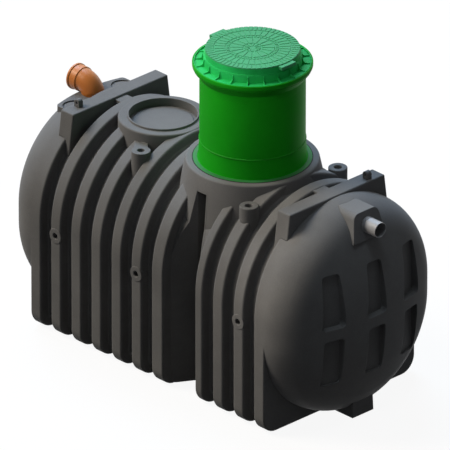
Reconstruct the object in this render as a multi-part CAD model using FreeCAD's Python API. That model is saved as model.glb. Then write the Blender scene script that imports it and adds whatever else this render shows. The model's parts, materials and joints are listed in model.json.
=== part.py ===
# Packaged sewage treatment plant: a ribbed plastic tank with domed ends,
# a waisted middle, a green access riser with a lid, an inlet bend and an outlet stub.
# Millimetres. X runs along the tank to the outlet end, Y across it, Z up from the ground.
import FreeCAD
import Part
import math
import os

vector = FreeCAD.Vector

# Shell: hollow ribs round an arched core with upright sides and a flat floor
wall = 10.0
rib_half_width = 595.0
side_height = 105.0
rib_depth = 59.0
rib_width = 84.0
rib_edge_bevel = 11.0
rib_corner_radius = 100.0
body_half_length = 950.0
rear_rib_count = 6
front_rib_count = 3
narrow_rib_width = 60.0

# Waist with a vertical recess on each side
waist_x = 245.0
waist_half_length = 147.0
recess_slot_half = 35.0
recess_flare_depth = 192.0
recess_slot_depth = 142.0
recess_drop = 90.0
waist_slope_rise = 145.0

# Domed ends with two rows of pockets, and the feet under them
dome_depth = 305.0
dome_knuckle = 240.0
pocket_spacing_share = 0.504
pocket_depth = 45.0
pocket_corner = 22.0
pocket_row_gap = 68.0
low_pocket_height = 290.0
low_pocket_half_width = 65.0
low_pocket_fade = 170.0
high_pocket_height = 328.0
high_pocket_half_width = 76.0
high_pocket_taper = 22.0
high_pocket_fade = 120.0
foot_length = 181.0
foot_half_width = 73.0
foot_draft = 0.03

# Main neck, which carries the riser
neck_rise = 5.0
neck_top_radius = 378.0
neck_flare = 0.216
neck_depth = 300.0
neck_mouth_radius = 296.0
crown_share = 0.8

# Blind neck with its closing plate
blind_radius = 257.0
blind_rise = 3.0
blind_depth = 178.0
blind_lip_radius = 204.0
blind_lip_width = 9.0
blind_lip_height = 12.0
blind_recess_depth = 42.0
blind_plate_radius = 172.0
blind_step_height = 5.0

# Lifting beams with their lugs
beam_inset = 70.0
beam_thickness = 103.0
beam_end_inset = 224.0
beam_rise = 7.0
beam_depth = 302.0
beam_end_draft = 0.138
beam_edge = 9.0
spur_half_width = 45.0
spur_drop = 8.0
lug_offset = 12.0
lug_inset = 102.0
lug_width = 40.0
lug_thickness = 32.0
lug_height = 45.0
lug_hole_radius = 8.0

# Anchor posts and side eyes
post_radius = 54.5
post_hole_radius = 22.0
post_hole_depth = 30.0
post_height = 250.0
front_post_inset = 247.0
front_post_drop = 64.0
rear_post_inset = 277.0
rear_post_drop = 55.0
post_web_half_width = 38.0
post_web_length = 190.0
post_web_turn = 135.0
eye_radius = 47.0
eye_hole_radius = 18.0
eye_rise = 50.0
eye_proud = 3.0
eye_depth = 45.0

# Inlet platform and bend
platform_drop = 60.0
platform_half_width = 262.0
platform_length = 160.0
platform_bulge = 32.0
platform_corner = 28.0
platform_skirt = 135.0
blank_y = 190.0
blank_offset = 81.0
blank_radius = 65.0
blank_depth = 7.0
bend_reach = 100.0
bend_rise = 58.0
bend_radius = 80.0
bend_pipe_radius = 62.5
bend_wall = 4.0
bend_tail = 115.0
socket_radius = 74.0
socket_length = 66.0
socket_bead_radius = 80.0
socket_bead_length = 14.0

# Outlet boss and stub
boss_reach = 205.0
boss_half_width = 90.0
boss_drop = 8.0
boss_height = 165.0
boss_corner = 45.0
boss_draft = 0.22
outlet_drop = 90.0
outlet_radius = 45.0
outlet_wall = 3.0
outlet_reach = 325.0
outlet_free_length = 90.0
outlet_root_length = 100.0
outlet_root_step = 2.0

# Riser
riser_radius = 300.0
riser_wall = 8.0
flange_radius = 338.0
flange_thickness = 14.0
flange_proud = 2.0
flare_radius = 319.0
flare_fillet = 13.0
riser_seam_rise = 127.0
seam_bead = 3.0
seam_bead_height = 6.0
collar_radius = 341.0
collar_band_height = 40.0
collar_cone_height = 80.0
collar_ledge = 15.0

# Lid frame and lid
lid_top_z = 1980.0
lid_height = 41.0
frame_wall_height = 79.0
frame_wall = 10.0
frame_floor = 30.0
frame_lip_width = 6.0
frame_lip_height = 42.0
gusset_count = 20
gusset_thickness = 6.0
gusset_drop = 4.0
gusset_sag = 8.0
lid_radius = 275.0
lid_step_radius = 284.0
lid_rim_radius = 295.0
lid_rim_height = 9.0
lid_step_height = 24.0
lid_plate = 12.0
ear_reach = 297.0
ear_half_width = 44.0
ear_thickness = 11.0
ear_drop = 5.0
notch_size = 16.0
notch_reach = 236.0
notch_depth = 8.0

# Running fit between pieces that slide into each other, and the bite between pieces that are joined
fit = 0.3
bite = 1.0

# Places that follow from the sizes above
far = 3000.0
arch_centre_z = rib_half_width + side_height
crown_z = arch_centre_z + rib_half_width
core_half_width = rib_half_width - rib_depth
core_corner_radius = rib_corner_radius - rib_depth
floor_split_z = rib_corner_radius + wall
waist_rear_x = waist_x - waist_half_length
waist_front_x = waist_x + waist_half_length
rear_rib_pitch = (waist_rear_x + body_half_length - narrow_rib_width) / rear_rib_count
front_rib_pitch = (body_half_length - waist_front_x - narrow_rib_width) / front_rib_count
waist_slope_y = math.sqrt(core_half_width ** 2 - waist_slope_rise ** 2)
waist_half_width = rib_half_width - rib_edge_bevel
recess_slot_y = waist_half_width - recess_flare_depth
recess_end_y = recess_slot_y - recess_slot_depth
recess_top_z = crown_z - recess_drop
neck_top_z = crown_z + neck_rise
neck_bottom_z = neck_top_z - neck_depth
neck_bottom_radius = neck_top_radius + neck_flare * neck_depth
crown_half_width = crown_share * neck_top_radius
seat_z = neck_top_z + flange_proud - flange_thickness
beam_x = body_half_length - beam_inset
beam_half_length = rib_half_width - beam_end_inset
beam_top_z = crown_z + beam_rise
blind_x = (waist_x - neck_top_radius - beam_x + beam_thickness / 2) / 2
blind_top_z = crown_z + blind_rise
blind_foot_z = blind_top_z - blind_depth
front_post_x = body_half_length - 2 * front_rib_pitch - rib_width / 2
rear_post_x = (rear_rib_count - 2.5) * rear_rib_pitch + rib_width / 2 - body_half_length
eye_z = rib_half_width + eye_rise
platform_z = crown_z - platform_drop
platform_x = -beam_x - beam_thickness / 2
bend_x = -body_half_length - bend_reach
bend_axis_z = platform_z + bend_rise
outlet_z = crown_z - outlet_drop
outlet_end_x = body_half_length + outlet_reach
outlet_root_x = outlet_end_x - outlet_free_length
outlet_inner_x = outlet_root_x - outlet_root_length
riser_seam_z = neck_top_z + riser_seam_rise
frame_wall_top_z = lid_top_z - lid_height
frame_z = frame_wall_top_z - frame_wall_height
collar_bottom_z = frame_z - collar_cone_height
collar_top_z = frame_z + collar_band_height
collar_bore = collar_radius - riser_wall


def box(x0, x1, y0, y1, z0, z1):
    return Part.makeBox(x1 - x0, y1 - y0, z1 - z0, vector(x0, y0, z0))


def upright(radius, x, y, z0, z1):
    return Part.makeCylinder(radius, z1 - z0, vector(x, y, z0))


def along_x(radius, x0, x1, y, z):
    return Part.makeCylinder(radius, x1 - x0, vector(x0, y, z), vector(1, 0, 0))


def prism(points, direction):
    face = Part.Face(Part.makePolygon(points + [points[0]]))
    return face.extrude(direction)


def turned(profile, x):
    points = [vector(x + r, 0, z) for r, z in profile]
    face = Part.Face(Part.makePolygon(points + [points[0]]))
    return face.revolve(vector(x, 0, 0), vector(0, 0, 1), 360)


def arc(a, middle, b):
    return Part.Arc(a, middle, b).toShape()


def line(a, b):
    return Part.LineSegment(a, b).toShape()


def mirrored_y(shape):
    return shape.mirror(vector(0, 0, 0), vector(0, 1, 0))


def body_prism(half, bottom, corner, x0, x1):
    # Arched outline with upright sides and rounded bottom corners, drawn across the tank
    diagonal = corner * (1 - math.sqrt(0.5))
    right_top = vector(x0, half, arch_centre_z)
    left_top = vector(x0, -half, arch_centre_z)
    left_side = vector(x0, -half, bottom + corner)
    left_base = vector(x0, corner - half, bottom)
    right_base = vector(x0, half - corner, bottom)
    right_side = vector(x0, half, bottom + corner)
    edges = [
        arc(right_top, vector(x0, 0, arch_centre_z + half), left_top),
        line(left_top, left_side),
        arc(left_side, vector(x0, diagonal - half, bottom + diagonal), left_base),
        line(left_base, right_base),
        arc(right_base, vector(x0, half - diagonal, bottom + diagonal), right_side),
        line(right_side, right_top),
    ]
    return Part.Face(Part.Wire(edges)).extrude(vector(x1 - x0, 0, 0))


def core_prism(inset, x0, x1):
    return body_prism(core_half_width - inset, rib_depth + inset, core_corner_radius - inset, x0, x1)


def edges_at(shape, x):
    near = 0.01
    return [e for e in shape.Edges if abs(e.BoundBox.XMin - x) < near and abs(e.BoundBox.XMax - x) < near]


def rib_prism(inset, x0, x1):
    # One rib; its edges are bevelled except where a dome joins it
    rib = body_prism(rib_half_width - inset, inset, rib_corner_radius - inset, x0 + inset, x1 - inset)
    if inset > 0:
        return rib
    bevelled = [e for x in (x0, x1) if abs(x) < body_half_length - bite for e in edges_at(rib, x)]
    return rib.makeChamfer(rib_edge_bevel, bevelled)


def rear_ribs():
    starts = [i * rear_rib_pitch - body_half_length for i in range(rear_rib_count)]
    spans = [(start, start + rib_width) for start in starts]
    return spans + [(waist_rear_x - narrow_rib_width, waist_rear_x)]


def front_ribs():
    ends = [body_half_length - i * front_rib_pitch for i in range(front_rib_count)]
    spans = [(end - rib_width, end) for end in ends]
    return spans + [(waist_front_x, waist_front_x + narrow_rib_width)]


def dome(inset, end):
    # Crown and knuckle arcs, turned over the top and the bottom with an upright band between the two
    depth = dome_depth - inset
    radius = rib_half_width - inset
    knuckle = dome_knuckle - inset
    base = end * body_half_length
    reach = radius - knuckle
    crown = (reach * reach + depth * depth - knuckle * knuckle) / (2 * (depth - knuckle))
    slope = math.atan2(crown - depth, reach)

    def at(x, y):
        return vector(base + end * x, y, 0)

    middle = at(0, 0)
    side = at(0, radius)
    tip = at(depth, 0)
    joint = at(knuckle * math.sin(slope), reach + knuckle * math.cos(slope))
    knuckle_middle = at(knuckle * math.sin(slope / 2), reach + knuckle * math.cos(slope / 2))
    rest = (math.pi / 2 + slope) / 2
    crown_middle = at(depth - crown + crown * math.sin(rest), crown * math.cos(rest))
    curves = [arc(side, knuckle_middle, joint), arc(joint, crown_middle, tip)]
    section = Part.Face(Part.Wire([line(middle, side)] + curves + [line(tip, middle)]))
    upper = section.revolve(middle, vector(1, 0, 0), 180)
    lower = upper.mirror(vector(0, 0, 0), vector(0, 0, 1))
    rise = vector(0, 0, side_height)
    bands = [section.extrude(rise), mirrored_y(section).extrude(rise)]
    upper.translate(vector(0, 0, arch_centre_z))
    for piece in [lower] + bands:
        piece.translate(vector(0, 0, rib_half_width))
    return upper.fuse([lower] + bands).removeSplitter()


def dome_mouth(x0, x1):
    # Inner opening of a dome, cut through the end wall behind it
    radius = rib_half_width - wall
    span = box(x0, x1, -radius, radius, rib_half_width, arch_centre_z)
    return span.fuse([along_x(radius, x0, x1, 0, rib_half_width), along_x(radius, x0, x1, 0, arch_centre_z)])


def pocket_row(grow, end, z0, z1, half, taper, fade):
    # Three upright recesses side by side; their back is the dome set inward and moved, so they fade out
    start = end * body_half_length
    run = end * (dome_depth + wall)
    low = half + grow
    high = low - taper
    bars = []
    for y in (-pocket_spacing_share * rib_half_width, 0, pocket_spacing_share * rib_half_width):
        outline = [(y - low, z0 - grow), (y + low, z0 - grow), (y + high, z1 + grow), (y - high, z1 + grow)]
        bar = prism([vector(start, a, b) for a, b in outline], vector(run, 0, 0))
        corners = [e for e in bar.Edges if e.BoundBox.XLength > wall]
        bars.append(bar.makeFillet(pocket_corner + grow, corners))
    back = dome(pocket_depth + grow, end)
    back.translate(vector(0, 0, fade))
    return [bar.cut(back) for bar in bars]


def pockets(grow, end):
    # Two rows of recesses across a dome, the lower one fading downward and the upper one upward
    low_z = rib_half_width - low_pocket_height
    high_z = rib_half_width + pocket_row_gap
    low = pocket_row(grow, end, low_z, rib_half_width, low_pocket_half_width, 0, -low_pocket_fade)
    high = pocket_row(grow, end, high_z, high_z + high_pocket_height, high_pocket_half_width,
                      high_pocket_taper, high_pocket_fade)
    return low + high


def end_dome(end):
    # Hollow dome whose wall follows the pockets
    outer = dome(0, end).cut(pockets(0, end))
    inner = dome(wall, end).cut(pockets(wall, end))
    return outer.cut(inner)


def waist_swell(inset):
    # Lower part of the waist, as wide as the ribs inside their bevel, its top sloping in to the core
    lean = (waist_half_width - waist_slope_y) / waist_slope_rise
    shift = inset * math.sqrt(1 + lean * lean)
    half = waist_half_width - inset
    top = waist_slope_y - shift
    knee_z = arch_centre_z - (shift - inset) / lean
    top_z = arch_centre_z + waist_slope_rise
    outline = [(-half, -wall), (half, -wall), (half, knee_z), (top, top_z), (-top, top_z), (-half, knee_z)]
    block = prism([vector(waist_rear_x, y, z) for y, z in outline], vector(2 * waist_half_length, 0, 0))
    depth = rib_edge_bevel + inset
    return body_prism(half, depth, rib_corner_radius - depth, waist_rear_x, waist_front_x).common(block)


def recess(grow, side):
    # Upright notch that narrows to a slot, cut into one side of the waist
    slant = (waist_half_length - recess_slot_half) / recess_flare_depth
    spread = grow * math.sqrt(1 + slant * slant)
    wide = waist_half_length + spread + slant * rib_edge_bevel
    narrow = recess_slot_half + grow
    knee = recess_slot_y - (spread - grow) / slant
    inner = recess_end_y - grow
    outline = [(-wide, rib_half_width), (-narrow, knee), (-narrow, inner),
               (narrow, inner), (narrow, knee), (wide, rib_half_width)]
    points = [vector(waist_x + x, side * y, -wall) for x, y in outline]
    return prism(points, vector(0, 0, recess_top_z + grow + wall))


def chamber_outer(spans, x0, x1):
    return core_prism(0, x0, x1).fuse([rib_prism(0, a, b) for a, b in spans])


def chamber_shell(spans, x0, x1, end):
    # Corrugated shell of one chamber, open to the waist and into its dome
    inner_x0 = x0 + wall if end < 0 else x0
    inner_x1 = x1 - wall if end > 0 else x1
    hollow = core_prism(wall, inner_x0, inner_x1).fuse([rib_prism(wall, a, b) for a, b in spans])
    mouth_x = x0 if end < 0 else x1 - wall
    mouth = core_prism(wall, mouth_x, mouth_x + wall).common(dome_mouth(mouth_x, mouth_x + wall))
    return chamber_outer(spans, x0, x1).cut([hollow, mouth])


def shell_regions():
    # Floor, two walls, two haunches and a crown, as solids that a shell is cut by
    half = crown_half_width
    return {
        "floor": box(-far, far, -far, far, -wall, floor_split_z),
        "near_wall": box(-far, far, -far, 0, floor_split_z, arch_centre_z),
        "far_wall": box(-far, far, 0, far, floor_split_z, arch_centre_z),
        "near_haunch": box(-far, far, -far, -half, arch_centre_z, far),
        "far_haunch": box(-far, far, half, far, arch_centre_z, far),
        "crown": box(-far, far, -half, half, arch_centre_z, far),
    }


def main_neck():
    # Flared neck with a seat for the riser's flange
    below_z = seat_z - wall
    inner_top = neck_top_radius + neck_flare * (neck_top_z - below_z) - wall
    seat_radius = flange_radius + fit
    return turned([(neck_bottom_radius, neck_bottom_z), (neck_top_radius, neck_top_z),
                   (seat_radius, neck_top_z), (seat_radius, seat_z), (neck_mouth_radius, seat_z),
                   (neck_mouth_radius, below_z), (inner_top, below_z),
                   (neck_bottom_radius - wall, neck_bottom_z)], waist_x)


def blind_neck():
    # Second neck, its flange carrying a raised lip round a closed recess
    inner = blind_lip_radius - blind_lip_width
    lip_top = blind_top_z + blind_lip_height
    floor_z = blind_top_z - blind_recess_depth
    return turned([(blind_radius, blind_foot_z), (blind_radius, blind_top_z),
                   (blind_lip_radius, blind_top_z), (blind_lip_radius, lip_top), (inner, lip_top),
                   (inner, floor_z), (inner - wall, floor_z), (inner - wall, floor_z - wall),
                   (inner + wall, floor_z - wall), (inner + wall, blind_top_z - wall),
                   (blind_radius - wall, blind_top_z - wall), (blind_radius - wall, blind_foot_z)], blind_x)


def blind_plate():
    # Closing plate that sits on the ledge at the bottom of the blind neck
    inner = blind_lip_radius - blind_lip_width - fit
    floor_z = blind_top_z - blind_recess_depth
    step_z = floor_z + blind_step_height
    return turned([(0, floor_z), (inner, floor_z), (inner, step_z), (blind_plate_radius, step_z),
                   (blind_plate_radius, floor_z + wall), (0, floor_z + wall)], blind_x)


def beam(end):
    # Lifting beam across the tank, its ends leaning outward towards the bottom
    x0 = end * beam_x - beam_thickness / 2
    low = beam_half_length + beam_end_draft * beam_depth
    bottom_z = beam_top_z - beam_depth
    points = [vector(x0, -beam_half_length, beam_top_z), vector(x0, beam_half_length, beam_top_z),
              vector(x0, low, bottom_z), vector(x0, -low, bottom_z)]
    bar = prism(points, vector(beam_thickness, 0, 0))
    rounded = [e for e in bar.Edges if e.BoundBox.ZMax > beam_top_z - bite]
    return bar.makeFillet(beam_edge, rounded)


def spur(x0, x1):
    # Short web that ties a lifting beam to the next raised form
    return box(x0, x1, -spur_half_width, spur_half_width, arch_centre_z, blind_top_z - spur_drop)


def lug(end):
    # Upright eye with a round top and a cross hole
    x = end * (beam_x + lug_offset)
    y0 = end * (beam_half_length - lug_inset) - lug_thickness / 2
    axis_z = beam_top_z + lug_height - lug_width / 2
    start = vector(x, y0, axis_z)
    across = vector(0, 1, 0)
    block = box(x - lug_width / 2, x + lug_width / 2, y0, y0 + lug_thickness, beam_top_z, axis_z)
    head = Part.makeCylinder(lug_width / 2, lug_thickness, start, across)
    hole = Part.makeCylinder(lug_hole_radius, lug_thickness, start, across)
    return block.fuse(head).cut(hole).removeSplitter()


def post(x, y, drop):
    # Round anchor post with a hole down from its top
    top = crown_z - drop
    hole = upright(post_hole_radius, x, y, top - post_hole_depth, top)
    return upright(post_radius, x, y, top - post_height, top).cut(hole)


def post_web(x, y, drop, turn):
    # Flat-topped web from a post to the blind neck
    top = crown_z - drop
    half = post_web_half_width
    web = box(x, x + post_web_length, y - half, y + half, top - post_height, top)
    web.rotate(vector(x, y, 0), vector(0, 0, 1), turn)
    return web.cut(upright(post_radius - bite, x, y, top - post_height, top))


def eye_places():
    rear = rear_ribs()
    carriers = [rear[1], rear[rear_rib_count - 1], front_ribs()[1]]
    return [sum(span) / 2 for span in carriers]


def eye_disc(radius, x, side):
    start = vector(x, side * (rib_half_width - eye_depth), eye_z)
    return Part.makeCylinder(radius, eye_depth + eye_proud, start, vector(0, side, 0))


def side_eyes(side):
    rings = [eye_disc(eye_radius, x, side).cut(eye_disc(eye_hole_radius, x, side)) for x in eye_places()]
    return Part.makeCompound(rings)


def platform_prism(z0, z1):
    # Flat with rounded corners and a gently bowed rear edge
    edge_x = platform_x - platform_length
    half = platform_half_width
    corner = platform_corner
    diagonal = corner * (1 - math.sqrt(0.5))
    a = vector(platform_x, -half, z0)
    b = vector(edge_x + corner, -half, z0)
    c = vector(edge_x, corner - half, z0)
    d = vector(edge_x, half - corner, z0)
    e = vector(edge_x + corner, half, z0)
    f = vector(platform_x, half, z0)
    edges = [
        line(a, b),
        arc(b, vector(edge_x + diagonal, diagonal - half, z0), c),
        arc(c, vector(edge_x - platform_bulge, 0, z0), d),
        arc(d, vector(edge_x + diagonal, half - diagonal, z0), e),
        line(e, f),
        line(f, a),
    ]
    return Part.Face(Part.Wire(edges)).extrude(vector(0, 0, z1 - z0))


def inlet_platform(rear_outer, inlet_bore):
    # Flat over the rear dome with a skirt down to it and two shallow round blanks
    low_dome = dome(0, -1).common(box(-far, 0, -far, far, -wall, platform_z - wall))
    blank_x = platform_x - blank_offset
    blank_z = platform_z - blank_depth
    blanks = [upright(blank_radius, blank_x, y, blank_z, far) for y in (-blank_y, blank_y)]
    flat = platform_prism(platform_z - platform_skirt, platform_z)
    return flat.cut([low_dome, rear_outer, inlet_bore] + blanks)


def inlet_pipe(radius, socket, bead, shoulder, over):
    # Upright tail, a right-angle bend and a socket that faces away from the tank
    bend_end_x = bend_x - bend_radius
    bend_start_z = bend_axis_z - bend_radius
    tail = upright(radius, bend_x, 0, platform_z - bend_tail - over, bend_start_z)
    circle = Part.Circle(vector(bend_x, 0, bend_start_z), vector(0, 0, 1), radius)
    ring = Part.Face(Part.Wire(circle.toShape()))
    elbow = ring.revolve(vector(bend_end_x, 0, bend_start_z), vector(0, -1, 0), 90)
    mouth_x = bend_end_x - socket_length
    throat = along_x(radius, mouth_x, bend_end_x, 0, bend_axis_z)
    sleeve = along_x(socket, mouth_x - over, bend_end_x - shoulder, 0, bend_axis_z)
    lip_x = mouth_x + shoulder
    lip = along_x(bead, lip_x - over, lip_x + socket_bead_length, 0, bend_axis_z)
    return tail.fuse([elbow, throat, sleeve, lip]).removeSplitter()


def inlet_bend():
    body = inlet_pipe(bend_pipe_radius, socket_radius, socket_bead_radius, 0, 0)
    groove = bend_pipe_radius + 2 * bend_wall
    bore = inlet_pipe(bend_pipe_radius - bend_wall, bend_pipe_radius + fit, groove, bend_wall, bite)
    return body.cut(bore)


def drafted(x0, x1, half, z0, z1, draft):
    # Block whose front and sides lean outward towards the bottom, its back upright at x0
    lean = draft * (z1 - z0)
    low_x = x1 + math.copysign(lean, x1 - x0)
    low_half = half + lean
    top = [vector(x0, -half, z1), vector(x1, -half, z1), vector(x1, half, z1), vector(x0, half, z1)]
    low = [vector(x0, -low_half, z0), vector(low_x, -low_half, z0),
           vector(low_x, low_half, z0), vector(x0, low_half, z0)]
    wires = [Part.makePolygon(points + [points[0]]) for points in (low, top)]
    return Part.makeLoft(wires, True, True)


def outlet_boss():
    # Boss between the front beam and the dome, with rounded top corners
    top_z = crown_z - boss_drop
    block = drafted(beam_x + beam_thickness / 2, body_half_length + boss_reach, boss_half_width,
                    top_z - boss_height, top_z, boss_draft)
    tops = [e for e in block.Edges if e.BoundBox.ZMin > top_z - bite and e.BoundBox.YLength < bite]
    return block.makeFillet(boss_corner, tops)


def outlet_pipe():
    # Stub with a slightly thicker root where it sits in the boss
    stub = along_x(outlet_radius, outlet_root_x, outlet_end_x, 0, outlet_z)
    root = along_x(outlet_radius + outlet_root_step, outlet_inner_x, outlet_root_x, 0, outlet_z)
    bore = along_x(outlet_radius - outlet_wall, outlet_inner_x, outlet_end_x, 0, outlet_z)
    return stub.fuse(root).cut(bore)


def foot(end):
    # Foot under a dome, narrower at the top
    start = end * body_half_length
    return drafted(start, start + end * foot_length, foot_half_width, 0, rib_half_width / 2, foot_draft)


def riser_base():
    # Flange and lower ring, with a rounded flare between the two and a bead at the seam
    top = seat_z + flange_thickness
    bore = riser_radius - riser_wall
    bead_z = riser_seam_z - seam_bead_height
    bead_radius = riser_radius + seam_bead
    body = turned([(bore, seat_z), (flange_radius, seat_z), (flange_radius, top), (flare_radius, top),
                   (riser_radius, bead_z), (bead_radius, bead_z), (bead_radius, riser_seam_z),
                   (bore, riser_seam_z)], waist_x)
    reach = waist_x + flare_radius + bite
    corner = [e for e in body.Edges if abs(e.BoundBox.ZMin - top) < bite and e.BoundBox.ZLength < bite
              and e.BoundBox.XMax < reach]
    return body.makeFillet(flare_fillet, corner)


def riser_shaft():
    bore = riser_radius - riser_wall
    return turned([(bore, riser_seam_z), (riser_radius, riser_seam_z), (riser_radius, collar_bottom_z),
                   (bore, collar_bottom_z)], waist_x)


def riser_collar():
    # Wider top of the riser, with a ledge inside that carries the lid's frame
    bore = riser_radius - riser_wall
    return turned([(bore, collar_bottom_z), (riser_radius, collar_bottom_z), (collar_radius, frame_z),
                   (collar_radius, collar_top_z), (collar_bore, collar_top_z), (collar_bore, frame_z),
                   (collar_bore - collar_ledge, frame_z)], waist_x)


def lid_frame():
    # Ring with an outer lip, an inner wall and radial gussets between the two
    outer = collar_bore - fit
    lip = outer - frame_lip_width
    inner = lid_rim_radius - frame_wall
    floor_z = frame_z + frame_floor
    lip_z = frame_z + frame_lip_height
    ring = turned([(inner, frame_z), (outer, frame_z), (outer, lip_z), (lip, lip_z), (lip, floor_z),
                   (lid_rim_radius, floor_z), (lid_rim_radius, frame_wall_top_z),
                   (inner, frame_wall_top_z)], waist_x)
    half = gusset_thickness / 2

    def at(r, z):
        return vector(r, -half, z)

    root_low = at(lid_rim_radius - bite, floor_z - bite)
    lip_low = at(lip + bite, floor_z - bite)
    lip_high = at(lip + bite, lip_z - gusset_drop)
    root_high = at(lid_rim_radius - bite, frame_wall_top_z - gusset_drop)
    sag = (root_high + lip_high) * 0.5 - vector(gusset_sag, 0, gusset_sag)
    outline = [line(root_low, lip_low), line(lip_low, lip_high), arc(lip_high, sag, root_high),
               line(root_high, root_low)]
    web = Part.Face(Part.Wire(outline)).extrude(vector(0, gusset_thickness, 0))
    gussets = []
    for i in range(gusset_count):
        gusset = web.copy()
        gusset.rotate(vector(0, 0, 0), vector(0, 0, 1), (i + 0.5) * 360 / gusset_count)
        gusset.translate(vector(waist_x, 0, 0))
        gussets.append(gusset)
    return ring.fuse(gussets).removeSplitter()


def lid():
    # Hollow cover with a sloping edge, two fastening ears and a finger notch at each
    bottom = frame_wall_top_z
    rim_z = bottom + lid_rim_height
    step_z = bottom + lid_step_height
    bore = lid_radius - lid_plate
    under_z = lid_top_z - lid_plate
    cover = turned([(0, under_z), (bore, under_z), (bore, bottom), (lid_rim_radius, bottom),
                    (lid_rim_radius, rim_z), (lid_step_radius, step_z), (lid_radius, lid_top_z),
                    (0, lid_top_z)], waist_x)
    ear_top = lid_top_z - ear_drop
    reach = upright(ear_reach, waist_x, 0, ear_top - ear_thickness, ear_top)
    sheath = upright(bore + bite, waist_x, 0, ear_top - ear_thickness, ear_top)
    width = box(-far, far, -ear_half_width, ear_half_width, 0, far)
    ears = reach.cut(sheath).common(width)
    half = notch_size / 2
    places = [waist_x - notch_reach, waist_x + notch_reach]
    notches = [box(x - half, x + half, -half, half, lid_top_z - notch_depth, far) for x in places]
    return cover.fuse(ears).cut(notches).removeSplitter()


rear_outer = chamber_outer(rear_ribs(), -body_half_length, waist_rear_x)
front_outer = chamber_outer(front_ribs(), waist_front_x, body_half_length)
rear_shell = chamber_shell(rear_ribs(), -body_half_length, waist_rear_x, -1)
front_shell = chamber_shell(front_ribs(), waist_front_x, body_half_length, 1)
neck_foot = vector(waist_x, 0, neck_bottom_z)
outer_cone = Part.makeCone(neck_bottom_radius, neck_top_radius, neck_depth, neck_foot)
blind_hole = upright(blind_radius, blind_x, 0, blind_foot_z, far)
outlet_bore = along_x(outlet_radius + outlet_root_step + fit, outlet_inner_x, far, 0, outlet_z)
inlet_bore = upright(bend_pipe_radius + fit, bend_x, 0, platform_z - bend_tail, bend_axis_z)
hollow = core_prism(wall, -body_half_length, body_half_length)
near_block = recess(wall, -1)
far_block = recess(wall, 1)
regions = shell_regions()

# The two chambers, each cut into floor, walls, haunches and crown
nodes = {}
for name, region in regions.items():
    cuts = [outer_cone, blind_hole]
    if name.endswith("wall"):
        cuts = [eye_disc(eye_radius, x, -1 if name == "near_wall" else 1) for x in eye_places()]
    nodes["rear_" + name] = rear_shell.common(region).cut(cuts)
    nodes["front_" + name] = front_shell.common(region).cut(cuts)

# The waist between them, with its recesses
waist_outer = core_prism(0, waist_rear_x, waist_front_x).fuse(waist_swell(0))
waist_rest = waist_outer.cut([hollow, waist_swell(wall), near_block, far_block, outer_cone])
near_half = box(-far, far, -far, 0, floor_split_z, far)
waist_span = box(waist_rear_x, waist_front_x, -far, far, 0, far)
envelope = waist_outer.fuse(outer_cone).common(waist_span)
nodes["waist_floor"] = waist_rest.common(regions["floor"])
nodes["waist_near_shoulders"] = waist_rest.common(near_half)
nodes["waist_far_shoulders"] = waist_rest.common(mirrored_y(near_half))
nodes["waist_near_recess"] = near_block.cut(recess(0, -1)).common(envelope)
nodes["waist_far_recess"] = far_block.cut(recess(0, 1)).common(envelope)

# Necks
nodes["main_neck"] = main_neck().cut([hollow, near_block, far_block])
nodes["blind_neck"] = blind_neck().cut(hollow)
nodes["blind_plate"] = blind_plate()

# Domed ends, feet, lifting beams and lugs
spur_spans = {
    -1: (-beam_x, rear_rib_pitch + rib_width / 2 - body_half_length),
    1: (body_half_length - front_rib_pitch - rib_width / 2, beam_x),
}
dome_cuts = {-1: platform_prism(platform_z - wall, far), 1: outlet_bore}
for end, name, outer in ((-1, "rear", rear_outer), (1, "front", front_outer)):
    bar = beam(end).fuse(spur(*spur_spans[end]))
    nodes[name + "_dome"] = end_dome(end).cut(dome_cuts[end])
    nodes[name + "_foot"] = foot(end).cut(dome(0, end))
    nodes[name + "_beam"] = bar.cut([outer, dome(0, end), blind_hole]).removeSplitter()
    nodes[name + "_lug"] = lug(end)

# Anchor posts and side eyes
front_post_y = rib_half_width - front_post_inset
rear_post_y = rib_half_width - rear_post_inset
for side, name in ((-1, "near"), (1, "far")):
    front_post = post(front_post_x, side * front_post_y, front_post_drop)
    nodes["front_%s_post" % name] = front_post.cut([front_outer, outer_cone]).removeSplitter()
    rear_post = post(rear_post_x, side * rear_post_y, rear_post_drop)
    web = post_web(rear_post_x, side * rear_post_y, rear_post_drop, -side * post_web_turn)
    nodes["rear_%s_post" % name] = rear_post.fuse(web).cut([rear_outer, blind_hole]).removeSplitter()
    nodes[name + "_side_eyes"] = side_eyes(side)

# Inlet, outlet, riser and lid
nodes["inlet_platform"] = inlet_platform(rear_outer, inlet_bore)
nodes["inlet_bend"] = inlet_bend()
nodes["outlet_boss"] = outlet_boss().cut([dome(0, 1), front_outer, outlet_bore])
nodes["outlet_pipe"] = outlet_pipe()
nodes["riser_base"] = riser_base()
nodes["riser_shaft"] = riser_shaft()
nodes["riser_collar"] = riser_collar()
nodes["lid_frame"] = lid_frame()
nodes["lid"] = lid()

os.makedirs("parts", exist_ok=True)
for name, shape in nodes.items():
    shape.exportStep("parts/%s.step" % name)
    print(name, len(shape.Solids), "solids", round(shape.Volume / 1e6, 3), "litres", shape.isValid())
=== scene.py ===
import bpy
import bmesh
import json
import math
from mathutils import Matrix, Vector


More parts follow.
